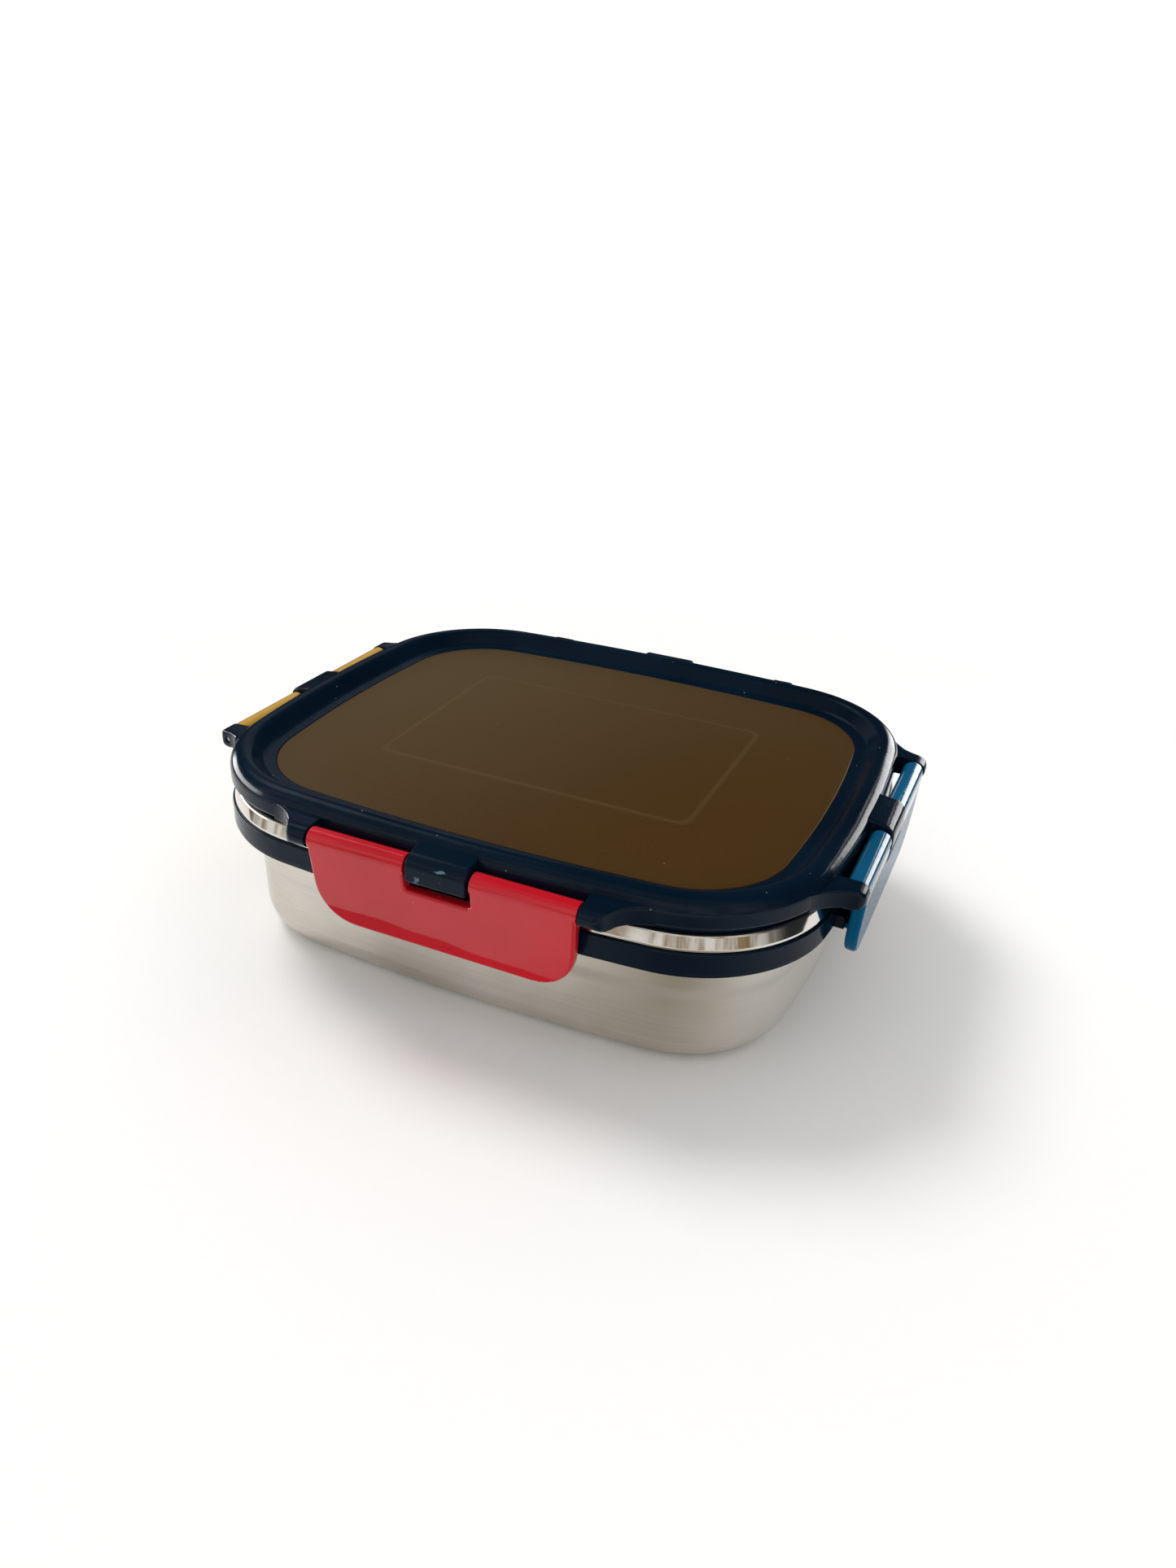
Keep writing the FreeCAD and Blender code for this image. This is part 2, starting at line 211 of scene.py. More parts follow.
def together(name, parts):  # joins parts that don't touch
    only(parts[0])
    for part in parts:
        part.select_set(True)
    bpy.ops.object.join()
    parts[0].name = name
    parts[0].data.name = name
    return parts[0]


def twin(piece, name):  # a copy with its own mesh
    only(piece)
    bpy.ops.object.duplicate(linked=False)
    copy = bpy.context.object
    copy.name = name
    copy.data.name = name
    return copy


def put(piece, turn=0, shift=(0, 0, 0), mirrored=False):  # move into place and apply
    only(piece)
    piece.location = Matrix.Rotation(math.radians(turn), 3, "Z") @ Vector(shift)
    piece.rotation_euler = (0, 0, math.radians(turn))
    if mirrored:
        piece.scale = (-1, 1, 1)
    bpy.ops.object.transform_apply(location=True, rotation=True, scale=True)
    bpy.ops.object.mode_set(mode="EDIT")
    closeUp()
    return piece


def softenEdges(piece, width, segments, test, angle=25):  # bevel the sharp edges that pass the test
    only(piece)
    bpy.ops.object.mode_set(mode="EDIT")
    bpy.ops.mesh.select_mode(type="EDGE")
    bpy.ops.mesh.select_all(action="DESELECT")
    bpy.ops.mesh.edges_select_sharp(sharpness=math.radians(angle))
    bpy.ops.object.mode_set(mode="OBJECT")
    points = piece.data.vertices
    for edge in piece.data.edges:
        ends = [points[index].co / mm for index in edge.vertices]
        edge.select = edge.select and all(test(end) for end in ends)
    bpy.ops.object.mode_set(mode="EDIT")
    bpy.ops.mesh.bevel(offset=width * mm, offset_type="OFFSET", segments=segments, affect="EDGES",
                       clamp_overlap=True)
    closeUp()


def onEnds(half, beyond=0):  # test for points on a piece's two end faces, past a distance outwards
    return lambda point: abs(abs(point.x) - half) < nearEnd and point.y > beyond


def polish(piece, angle=32):  # smooth shading with flat faces kept flat
    only(piece)
    bpy.ops.object.shade_smooth_by_angle(angle=math.radians(angle))
    bpy.ops.object.modifier_add(type="WEIGHTED_NORMAL")
    piece.modifiers[-1].keep_sharp = True
    bpy.ops.object.modifier_apply(modifier=piece.modifiers[-1].name)


def settle(piece, body, slot, finish, *nodes):  # material, body and the CAD nodes it stands for
    piece.data.materials.clear()
    piece.data.materials.append(finish.material)
    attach(piece, body)
    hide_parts(*nodes)


def paint(red, green, blue):  # a screen colour as the shader's linear one
    shades = []
    for part in (red, green, blue):
        share = part / 255
        shades.append(share / 12.92 if share <= 0.04045 else ((share + 0.055) / 1.055) ** 2.4)
    return (*shades, 1)


cloudSpan = (0.3, 0.7)  # most of a noise's values lie between these


class Value:
    # a socket that can stand in a sum

    def __init__(self, finish, socket):
        self.finish = finish
        self.socket = socket

    def sum(self, how, first, second):
        return self.finish.node("ShaderNodeMath", {"operation": how}, {0: first, 1: second})

    def __add__(self, other):
        return self.sum("ADD", self, other)

    def __radd__(self, other):
        return self.sum("ADD", other, self)

    def __sub__(self, other):
        return self.sum("SUBTRACT", self, other)

    def __rsub__(self, other):
        return self.sum("SUBTRACT", other, self)

    def __mul__(self, other):
        return self.sum("MULTIPLY", self, other)

    def __rmul__(self, other):
        return self.sum("MULTIPLY", other, self)


class Finish:
    # one material: nodes are added by node(), patterns read the piece's own place in metres

    def __init__(self, name, fixed):
        self.material = bpy.data.materials.new(name)
        self.material.use_nodes = True
        self.tree = self.material.node_tree
        self.shader = self.tree.nodes["Principled BSDF"]
        for socket, value in fixed.items():
            self.shader.inputs[socket].default_value = value
        self.place = self.node("ShaderNodeTexCoord", {}, {}, "Object")

    def node(self, kind, settings, sockets, output=0):
        made = self.tree.nodes.new(kind)
        for key, value in settings.items():
            setattr(made, key, value)
        for key, value in sockets.items():
            self.link(made.inputs[key], value)
        return Value(self, made.outputs[output])

    def link(self, socket, value):
        if isinstance(value, Value):
            self.tree.links.new(value.socket, socket)
        else:
            socket.default_value = value

    def stretched(self, scale, turn=(0, 0, 0)):
        return self.node("ShaderNodeMapping", {}, {"Vector": self.place, "Scale": scale, "Rotation": turn})

    def noise(self, scale, detail=2.0, place=None, rough=0.5):
        sockets = {"Vector": place or self.place, "Scale": scale, "Detail": detail, "Roughness": rough}
        return self.node("ShaderNodeTexNoise", {}, sockets, "Fac")

    def part(self, vector, axis):
        return self.node("ShaderNodeSeparateXYZ", {}, {0: vector}, axis)

    def size(self, value):  # without its sign
        return self.node("ShaderNodeMath", {"operation": "ABSOLUTE"}, {0: value})

    def step(self, value, low, high):  # 0 at low, 1 at high, smooth between
        sockets = {"Value": value, "From Min": low, "From Max": high}
        return self.node("ShaderNodeMapRange", {"interpolation_type": "SMOOTHSTEP"}, sockets)

    def within(self, value, low, high, soft):  # 1 from low to high, with soft ends
        rise = self.step(value, low - soft, low + soft)
        return rise * (1 - self.step(value, high - soft, high + soft))

    def blend(self, share, first, second):
        return self.node("ShaderNodeMix", {"data_type": "RGBA"}, {0: share, 6: first, 7: second}, 2)

    def bump(self, height, strength, depth, normal=None):
        sockets = {"Height": height, "Strength": strength, "Distance": depth * mm}
        if normal:
            sockets["Normal"] = normal
        return self.node("ShaderNodeBump", {}, sockets)

    def specks(self, scale, share, size):  # scattered grains: a few cells of a Voronoi, each with a small dot
        sockets = {"Vector": self.place, "Scale": scale, "Randomness": 1.0}
        near = self.node("ShaderNodeTexVoronoi", {"feature": "F1"}, sockets, "Distance")
        tint = self.node("ShaderNodeTexVoronoi", {"feature": "F1"}, sockets, "Color")
        chosen = self.step(self.part(tint, "X"), 1 - share, 1 - share * 0.8)
        return chosen * (1 - self.step(near, size * 0.5, size))

    def wear(self, colour, roughness, normal):
        self.link(self.shader.inputs["Base Color"], colour)
        self.link(self.shader.inputs["Roughness"], roughness)
        self.link(self.shader.inputs["Normal"], normal)


# glossy moulded plastic: slow waves and fine peel in the gloss, hairlines, dust, scuffs on the front knuckle
plasticLook = {
    "ior": 1.5, "shine": 0.14, "coat": 0.0, "coatRough": 0.04, "rough": 0.13, "roughSpread": 0.08,
    "cloudScale": 22, "waveScale": 130, "waveStrength": 0.2, "waveDepth": 0.5,
    "peelScale": 520, "peelStrength": 0.15, "peelDepth": 0.08,
    "hairScale": 60, "hairStretch": (1, 14, 6), "hairTurn": (0.3, 0.2, 0.7), "hairSpan": (0.66, 0.7),
    "hairPatch": (0.45, 0.6), "hairRough": 0.06,
    "dustScale": 420, "dustShare": 0.07, "dustSize": 0.11, "dustTint": 0.55,
    "dustColour": paint(170, 172, 168), "dustRough": 0.3, "dustStrength": 0.25, "dustDepth": 0.05,
    "scuffs": 0.0, "scuffOut": (84.0, 84.4), "scuffAlong": (4, 7), "scuffScale": 420,
    "scuffStretch": (0.5, 1, 1.4), "scuffSpan": (0.63, 0.68), "scuffColour": paint(120, 165, 176),
    "dryBelow": 0, "dryFade": 0.5, "dryWander": 9,
}


def mouldedPlastic(name, changes):
    look = {**plasticLook, **changes}
    fixed = {"IOR": look["ior"], "Specular IOR Level": look["shine"], "Coat Roughness": look["coatRough"]}
    finish = Finish(name, fixed)
    x, y, z = (finish.part(finish.place, axis) for axis in "XYZ")
    clouds = finish.noise(look["cloudScale"], 3)
    waves = finish.noise(look["waveScale"], 2)
    peel = finish.noise(look["peelScale"], 1)
    hairs = finish.noise(look["hairScale"], 2, finish.stretched(look["hairStretch"], look["hairTurn"]))
    scratch = finish.step(hairs, *look["hairSpan"]) * finish.step(clouds, *look["hairPatch"])
    dust = finish.specks(look["dustScale"], look["dustShare"], look["dustSize"])
    shade = finish.blend(finish.step(clouds, *cloudSpan), look["deep"], look["bright"])
    shade = finish.blend(dust * look["dustTint"], shade, look["dustColour"])
    outLow, outHigh = look["scuffOut"]
    nearBy, farOff = look["scuffAlong"]
    worn = 1 - finish.step(finish.size(x), nearBy * mm, farOff * mm)
    worn = finish.step(0 - y, outLow * mm, outHigh * mm) * worn
    marks = finish.noise(look["scuffScale"], 2, finish.stretched(look["scuffStretch"]))
    marks = finish.step(marks, *look["scuffSpan"])
    shade = finish.blend(worn * marks * look["scuffs"], shade, look["scuffColour"])
    rough = look["rough"] + (clouds - 0.5) * look["roughSpread"]
    rough = rough + scratch * look["hairRough"] + dust * look["dustRough"]
    normal = finish.bump(waves, look["waveStrength"], look["waveDepth"])
    normal = finish.bump(peel, look["peelStrength"], look["peelDepth"], normal)
    normal = finish.bump(dust, look["dustStrength"], look["dustDepth"], normal)
    dryTop = look["dryBelow"] + look["dryFade"]
    wander = look["dryWander"] * mm
    wet = finish.step(z + (clouds - 0.5) * wander, look["dryBelow"] * mm, dryTop * mm)
    finish.link(finish.shader.inputs["Coat Weight"], wet * look["coat"])
    finish.wear(shade, rough, normal)
    return finish


navyPlastic = mouldedPlastic("navyPlastic", {
    "deep": paint(3, 17, 30), "bright": paint(6, 24, 40), "scuffs": 0.5,
})
latchLook = {
    "shine": 0.08, "coat": 0.85, "rough": 0.12, "roughSpread": 0.05, "dryBelow": 29.4,
    "dustShare": 0.025, "dustTint": 0.3,
}
latchColours = {
    "front": {"name": "redPlastic", "deep": paint(178, 13, 29), "bright": paint(196, 21, 37)},
    "right": {"name": "bluePlastic", "deep": paint(6, 72, 106), "bright": paint(12, 88, 124), "shine": 0.02,
              "dryBelow": 46, "waveStrength": 0.4, "peelStrength": 0.6, "peelDepth": 0.35},
    "back": {"name": "greenPlastic", "deep": paint(52, 112, 48), "bright": paint(64, 128, 58)},
    "left": {"name": "yellowPlastic", "deep": paint(186, 144, 56), "bright": paint(200, 157, 68)},
}
latchPlastic = {}
for sideName, colours in latchColours.items():
    latchPlastic[sideName] = mouldedPlastic(colours["name"], {**latchLook, **colours})

# pressed steel: brush lines round the walls and along the floor, cloudy satin, polished flange and mouth
steelLook = {
    "dark": paint(186, 180, 170), "pale": paint(226, 221, 214), "cloudTint": 0.85,
    "flange": (41.3, 41.6), "wallRough": 0.3, "flangeRough": 0.05, "levelSpan": (0.7, 0.9),
    "wallBrush": (22, 22, 1500), "wallFray": 0.6, "floorBrush": (16, 2200, 16), "floorFray": 0.65,
    "cloudScale": 16, "smearScale": 40, "smearStretch": (1, 1, 0.35), "smearSpan": (0.55, 0.75),
    "brushRough": 0.07, "cloudRough": 0.1, "smearRough": 0.06, "flangeCloud": 0.03,
    "brushBump": (0.05, 0.03), "cloudBump": (0.25, 0.6),
}


def pressedSteel():
    look = steelLook
    finish = Finish("pressedSteel", {"Metallic": 1.0})
    wallLines = finish.noise(1.0, 3, finish.stretched(look["wallBrush"]), look["wallFray"])
    floorLines = finish.noise(1.0, 3, finish.stretched(look["floorBrush"]), look["floorFray"])
    facing = finish.node("ShaderNodeNewGeometry", {}, {}, "Normal")
    flat = finish.step(finish.size(finish.part(facing, "Z")), *look["levelSpan"])
    brush = wallLines * (1 - flat) + floorLines * flat
    clouds = finish.noise(look["cloudScale"], 3)
    smears = finish.noise(look["smearScale"], 4, finish.stretched(look["smearStretch"]))
    satinTop, mirrorLow = look["flange"]
    bright = finish.step(finish.part(finish.place, "Z"), satinTop * mm, mirrorLow * mm)
    tint = clouds * look["cloudTint"] + brush * (1 - look["cloudTint"])
    shade = finish.blend(finish.step(tint, *cloudSpan), look["dark"], look["pale"])
    satin = look["wallRough"] + (brush - 0.5) * look["brushRough"] + (clouds - 0.5) * look["cloudRough"]
    satin = satin + finish.step(smears, *look["smearSpan"]) * look["smearRough"]
    mirror = look["flangeRough"] + (clouds - 0.5) * look["flangeCloud"]
    normal = finish.bump(brush * (1 - bright), *look["brushBump"])
    normal = finish.bump(clouds, *look["cloudBump"], normal)
    finish.wear(shade, satin * (1 - bright) + mirror * bright, normal)
    return finish


# tinted window: fine grain, painted shade from paler at the back-left to darker at the front-right, painted
# highlight on the slope round the raised rectangle, a few specks
windowLook = {
    "pale": paint(79, 63, 40), "deep": paint(69, 46, 17), "ior": 1.5, "shine": 0.06, "rough": 0.36,
    "paintedShadeSlant": 0.8, "paintedShadeSpan": (-0.09, 0.09), "paintedShadeWander": 0.05,
    "cloudScale": 14, "cloudRough": 0.12, "cloudBump": (0.1, 0.5),
    "grain": paint(96, 76, 46), "grainScale": 2600, "grainSpan": (0.5, 0.8), "grainTint": 0.25,
    "grainRough": 0.1, "grainBump": (0.12, 0.04),
    "ridge": paint(104, 85, 58), "ridgeFoot": (53.52, 53.62), "ridgeTop": (53.76, 53.85), "ridgeHighlight": 0.2,
    "dust": paint(150, 138, 118), "dustScale": 260, "dustShare": 0.06, "dustSize": 0.07, "dustTint": 0.5,
}


def tintedPanel():
    look = windowLook
    finish = Finish("tintedPanel", {"IOR": look["ior"], "Specular IOR Level": look["shine"]})
    x, y, z = (finish.part(finish.place, axis) for axis in "XYZ")
    clouds = finish.noise(look["cloudScale"], 4)
    grain = finish.noise(look["grainScale"], 2)
    # painted shade: the brown tint is the pane's own, but its slant from pale at the back-left to deep at the
    # front-right stands in for light falling across the dome
    paintedShade = finish.step(x - y * look["paintedShadeSlant"] + (clouds - 0.5) * look["paintedShadeWander"], *look["paintedShadeSpan"])
    shade = finish.blend(paintedShade, look["pale"], look["deep"])
    shade = finish.blend(finish.step(grain, *look["grainSpan"]) * look["grainTint"], shade, look["grain"])
    # painted highlight: the slope round the raised rectangle is tinted toward the ridge colour, standing in
    # for light catching it
    rise = finish.step(z, *(height * mm for height in look["ridgeFoot"]))
    level = finish.step(z, *(height * mm for height in look["ridgeTop"]))
    shade = finish.blend(rise * (1 - level) * look["ridgeHighlight"], shade, look["ridge"])
    dust = finish.specks(look["dustScale"], look["dustShare"], look["dustSize"])
    shade = finish.blend(dust * look["dustTint"], shade, look["dust"])
    rough = look["rough"] + (clouds - 0.5) * look["cloudRough"] + (grain - 0.5) * look["grainRough"]
    normal = finish.bump(grain, *look["grainBump"])
    normal = finish.bump(clouds, *look["cloudBump"], normal)
    finish.wear(shade, rough, normal)
    return finish


sealLook = {
    "deep": paint(196, 198, 196), "pale": paint(212, 213, 210), "ior": 1.41,
    "rough": 0.55, "roughSpread": 0.15, "cloudScale": 30, "grainScale": 1500, "grainBump": (0.1, 0.04),
}


def softSilicone():
    look = sealLook
    finish = Finish("softSilicone", {"IOR": look["ior"]})
    clouds = finish.noise(look["cloudScale"], 3)
    grain = finish.noise(look["grainScale"], 2)
    shade = finish.blend(finish.step(clouds, *cloudSpan), look["deep"], look["pale"])
    rough = look["rough"] + (clouds - 0.5) * look["roughSpread"]
    finish.wear(shade, rough, finish.bump(grain, *look["grainBump"]))
    return finish


wireLook = {
    "deep": paint(168, 168, 166), "pale": paint(196, 196, 193), "rough": 0.24, "roughSpread": 0.16,
    "cloudScale": 120, "lineScale": 900, "lineStretch": (0.05, 0.05, 1), "lineBump": (0.08, 0.02),
}


def drawnWire():
    look = wireLook
    finish = Finish("drawnWire", {"Metallic": 1.0})
    lines = finish.noise(look["lineScale"], 2, finish.stretched(look["lineStretch"]))
    clouds = finish.noise(look["cloudScale"], 3)
    shade = finish.blend(finish.step(clouds, *cloudSpan), look["deep"], look["pale"])
    rough = look["rough"] + (lines - 0.5) * look["roughSpread"]
    finish.wear(shade, rough, finish.bump(lines, *look["lineBump"]))
    return finish


steelFinish = pressedSteel()
windowFinish = tintedPanel()
siliconeFinish = softSilicone()
wireFinish = drawnWire()
print("finishes made")

# steel tray: pressed wall with a soft crease, round base edge, flange, hem and rolled rim
trayShape = {
    "height": 44.7, "steel": 0.6, "foot": 5.4, "baseRound": 9, "baseRim": 3,
    "creaseLow": (5.95, 22.9), "creaseHigh": (6.7, 25.9), "creaseRound": 9.0,
    "mouth": 7.2, "mouthRound": 1.2, "hem": 12.6, "hemDepth": 3.0, "hemRound": 0.9,
    "hemTurn": 1.6, "hemEdge": 0.25, "hemFoot": 0.8, "hemEase": 1.2,
    "rollRise": 1.4, "rollOuter": 11.5, "rollInner": 10.7, "rollEdge": 0.2, "rollFoot": 0.3, "sharp": 40,
}


def makeTray():
    shape = trayShape
    wall = shape["steel"]
    top = shape["height"]
    floorEdge = shape["foot"] - shape["baseRound"] - shape["baseRim"]
    lowOut, lowUp = shape["creaseLow"]
    highOut, highUp = shape["creaseHigh"]
    section = [
        (floorEdge, 0, 0),
        (shape["foot"], 0, shape["baseRound"]),
        (lowOut, lowUp, shape["creaseRound"]),
        (highOut, highUp, shape["creaseRound"]),
        (shape["mouth"], top - wall, shape["mouthRound"] - wall),
        (shape["hem"] - wall, top - wall, shape["hemTurn"]),
        (shape["hem"] - wall, top - shape["hemDepth"], shape["hemEdge"]),
        (shape["hem"], top - shape["hemDepth"], shape["hemEdge"]),
        (shape["hem"], top - shape["hemDepth"] + shape["hemFoot"], shape["hemEase"]),
        (shape["rollOuter"], top + shape["rollRise"], shape["hemRound"]),
        (shape["rollInner"], top + shape["rollRise"], shape["rollEdge"]),
        (shape["rollInner"] - shape["rollFoot"], top, shape["rollFoot"]),
        (shape["mouth"] - wall, top, shape["mouthRound"]),
        (highOut - wall, highUp, shape["creaseRound"]),
        (lowOut - wall, lowUp, shape["creaseRound"]),
        (shape["foot"] - wall, wall, shape["baseRound"] - wall),
        (floorEdge, wall, 0),
    ]
    tray = spunRing("trayShell", section, closed=False)
    polish(tray, shape["sharp"])
    settle(tray, "tray", "steel", steelFinish, "steel_tray")


makeTray()
print("tray made")

# plastic collar under the flange, with a catch rail on each side
collarShape = {
    "inner": 7.3, "tongue": 11.95, "outer": 13.3, "top": 44.05, "ledge": 41.65, "bottom": 34.35,
    "wall": 2.0, "step": 0.4, "stepHeight": 1.4, "stepRound": 0.12, "edge": 0.45, "fineEdge": 0.2,
    "topRound": 1.2, "tongueRound": 1.6, "webRound": 0.3,
    "railReach": 14.2, "railHalf": 34.0, "railHeight": 3.8, "railRound": 0.8, "railFoot": 0.35,
    "railEdge": 0.4, "railShown": 3,
}


def makeCollar():
    shape = collarShape
    bottom = shape["bottom"]
    stepTop = bottom + shape["stepHeight"]
    stepOut = shape["outer"] - shape["step"]
    web = shape["top"] - shape["wall"]
    section = [
        (shape["inner"], bottom, shape["fineEdge"]),
        (shape["inner"], shape["top"], shape["topRound"]),
        (shape["tongue"], shape["top"], shape["tongueRound"]),
        (shape["tongue"], shape["ledge"], 0),
        (shape["outer"], shape["ledge"], shape["edge"]),
        (shape["outer"], stepTop, shape["stepRound"]),
        (stepOut, stepTop - shape["step"], shape["stepRound"]),
        (stepOut, bottom, shape["edge"]),
        (shape["outer"] - shape["wall"], bottom, shape["fineEdge"]),
        (shape["outer"] - shape["wall"], web, shape["webRound"]),
        (shape["inner"] + shape["wall"], web, shape["webRound"]),
        (shape["inner"] + shape["wall"], bottom, shape["fineEdge"]),
    ]
    collar = spunRing("collarRing", section)
    rails = []
    for side in sides.values():
        root = side["half"] + shape["inner"] + shape["wall"]
        reach = side["half"] + shape["railReach"]
        profile = [
            (root, bottom, 0),
            (root, bottom + shape["railHeight"], 0),
            (reach, bottom + shape["railHeight"], shape["railRound"]),
            (reach, bottom, shape["railFoot"]),
        ]
        half = shape["railHalf"]
        shown = reach - shape["railShown"]
        rail = prism("catchRail", profile, sideways(-half), Vector((2 * half * mm, 0, 0)))
        softenEdges(rail, shape["railEdge"], 3, onEnds(half, shown))
        rails.append(put(rail, side["turn"]))
    combine(collar, together("catchRails", rails), "UNION")
    polish(collar)
    settle(collar, "tray", "dark_plastic", navyPlastic, "collar_ring")


makeCollar()
print("collar made")

# lid frame: ledge round the window, crest, skirt with a bead, lip, seal channel and plug wall
frameShape = {
    "seatWidth": 4.0, "seatUnder": 48.2, "seat": 50.0, "level": 52.0, "ledge": 3.4, "ledgeLift": 0.2,
    "crest": 56.5, "crestInner": 7.2, "crestOuter": 13.1, "crestRound": 4.4, "coveRound": 3.0,
    "beadBottom": 48.7, "beadRound": 1.2, "lip": 10.3, "bottom": 45.1,
    "channelOuter": 9.2, "channelInner": 6.2, "channelRoof": 50.4, "plugInner": 4.4, "plugBottom": 41.0,
    "edge": 0.35, "fineEdge": 0.2, "channelRound": 0.4, "plugRound": 1.8,
}
lugShape = {
    "tip": 3.1, "tipRound": 2.4, "topDrop": 2.7, "under": 3.1,
    "rootLow": 47.8, "rootOffset": 11.0, "rootRound": 1.5,
    "fairing": 13.0, "fairingSteps": 20, "fairingGap": 0.2, "noseFlat": 0.01, "chinFlat": 0.1,
    "spare": 2.5, "shrink": 0.4, "grid": 0.42, "rubbing": 12, "rubShare": 0.5,
    "blankDrop": 1, "blankHeight": 12, "cutterBack": 5, "cutterRun": 30,
}
knuckleShape = {
    "half": 8.8, "root": 10.1, "rootDrop": 1.2, "face": 3.3, "top": 3.9, "drop": 3.4, "round": 3.6,
    "lowRound": 1.0, "edge": 0.7, "edgeFrom": 0.2,
}


def fairingMiddle(side):  # middle of the hollow between a lug and the rim, and the way out from the rim to it
    along = hinge["lugOuter"] + lugShape["fairing"]
    gap = frameShape["crestOuter"] + lugShape["fairing"]
    corner = Vector(cornerMiddle())
    if side["half"] == plan["halfLength"]:
        corner = corner.yx
    bowEnd = corner.x * (side["bow"] + gap) / (side["bow"] - plan["corner"])
    middle = Vector((0, side["half"] - side["bow"]))
    radius = side["bow"] + gap
    if along > bowEnd:
        middle = corner
        radius = plan["corner"] + gap
    hollow = Vector((along, middle.y + math.sqrt(radius ** 2 - (along - middle.x) ** 2)))
    return hollow, (hollow - middle).normalized()


def makeLug(side):  # tongue at the +X end of a side, swept into the rim and rubbed round on a fine grid
    shape = lugShape
    half = side["half"]
    inner = hinge["lugInner"] - shape["spare"]
    outer = hinge["lugOuter"] + shape["shrink"]
    tip = half + hinge["reach"] + shape["tip"] + shape["shrink"]
    hollow, wayOut = fairingMiddle(side)
    start = Vector((-1, 0))
    steps = shape["fairingSteps"]
    sweep = [hollow + start.slerp(-wayOut, step / steps) * shape["fairing"] for step in range(steps + 1)]
    sweepEnd = tip - shape["tipRound"] - shape["fairingGap"]
    inside = hollow - wayOut * (shape["fairing"] + frameShape["crestOuter"] - shape["rootOffset"])
    root = half - inner ** 2 / (2 * side["bow"]) + shape["rootOffset"]
    outline = [(inner, root, 0), (inner, tip, 0), (outer, tip, shape["tipRound"])]
    outline += [(point.x, point.y, 0) for point in sweep if point.y < sweepEnd]
    outline.append((inside.x, inside.y, 0))
    low = hinge["height"] - shape["under"]
    blankRun = Vector((0, 0, shape["blankHeight"] * mm))
    lug = prism("lug", outline, fromAbove(low - shape["blankDrop"]), blankRun)
    profile = [
        (half, shape["rootLow"], 0),
        (half, frameShape["crest"] - shape["topDrop"], 0),
        (tip, hinge["height"] + shape["tip"], shape["tip"] - shape["noseFlat"]),
        (tip, low, shape["tip"] - shape["chinFlat"]),
        (half + frameShape["crestOuter"], shape["rootLow"], shape["rootRound"]),
    ]
    cutterRun = Vector((shape["cutterRun"] * mm, 0, 0))
    combine(lug, prism("lugProfile", profile, sideways(inner - shape["cutterBack"]), cutterRun), "INTERSECT")
    only(lug)
    bpy.ops.object.modifier_add(type="REMESH")
    lug.modifiers[-1].mode = "VOXEL"
    lug.modifiers[-1].voxel_size = shape["grid"] * mm
    bpy.ops.object.modifier_apply(modifier=lug.modifiers[-1].name)
    bpy.ops.object.modifier_add(type="SMOOTH")
    lug.modifiers[-1].factor = shape["rubShare"]
    lug.modifiers[-1].iterations = shape["rubbing"]
    bpy.ops.object.modifier_apply(modifier=lug.modifiers[-1].name)
    bpy.ops.object.mode_set(mode="EDIT")
    bpy.ops.mesh.select_all(action="SELECT")
    bpy.ops.mesh.bisect(plane_co=(hinge["lugInner"] * mm, 0, 0), plane_no=(1, 0, 0), use_fill=True,
                        clear_inner=True)
    closeUp()
    return lug


def makeKnuckle(side):  # block at the middle of a side, between the latch's barrels
    shape = knuckleShape
    face = side["half"] + hinge["reach"] + shape["face"]
    root = side["half"] + shape["root"]
    low = hinge["height"] - shape["drop"]
    profile = [
        (root, low, 0),
        (root, frameShape["crest"] - shape["rootDrop"], 0),
        (face, hinge["height"] + shape["top"], shape["round"]),
        (face, low, shape["lowRound"]),
    ]
    half = shape["half"]
    shown = root + shape["edgeFrom"]
    knuckle = prism("knuckle", profile, sideways(-half), Vector((2 * half * mm, 0, 0)))
    softenEdges(knuckle, shape["edge"], 2, onEnds(half, shown))
    return knuckle


def pinRun(side):  # ends of a pin along its side: blind in one lug, just below the face of the other
    blind = hinge["lugOuter"] - hinge["blindEnd"]
    shown = hinge["lugOuter"] - hinge["openEnd"]
    return (-blind, shown) if side["entry"] > 0 else (-shown, blind)


def makeRod(name, half, radius, start, end, chamfer):  # a turned bar on the hinge line of a side half out
    only(None)
    middle = ((start + end) / 2 * mm, (half + hinge["reach"]) * mm, hinge["height"] * mm)
    bpy.ops.mesh.primitive_cylinder_add(vertices=hinge["rodFacets"], radius=radius * mm,
                                        depth=(end - start) * mm, location=middle,
                                        rotation=(0, math.pi / 2, 0))
    rod = bpy.context.object
    rod.name = name
    rod.data.name = name
    bpy.ops.object.transform_apply(location=True, rotation=True, scale=True)
    if chamfer:
        softenEdges(rod, chamfer, 2, lambda point: True, hinge["rodSharp"])
    return rod


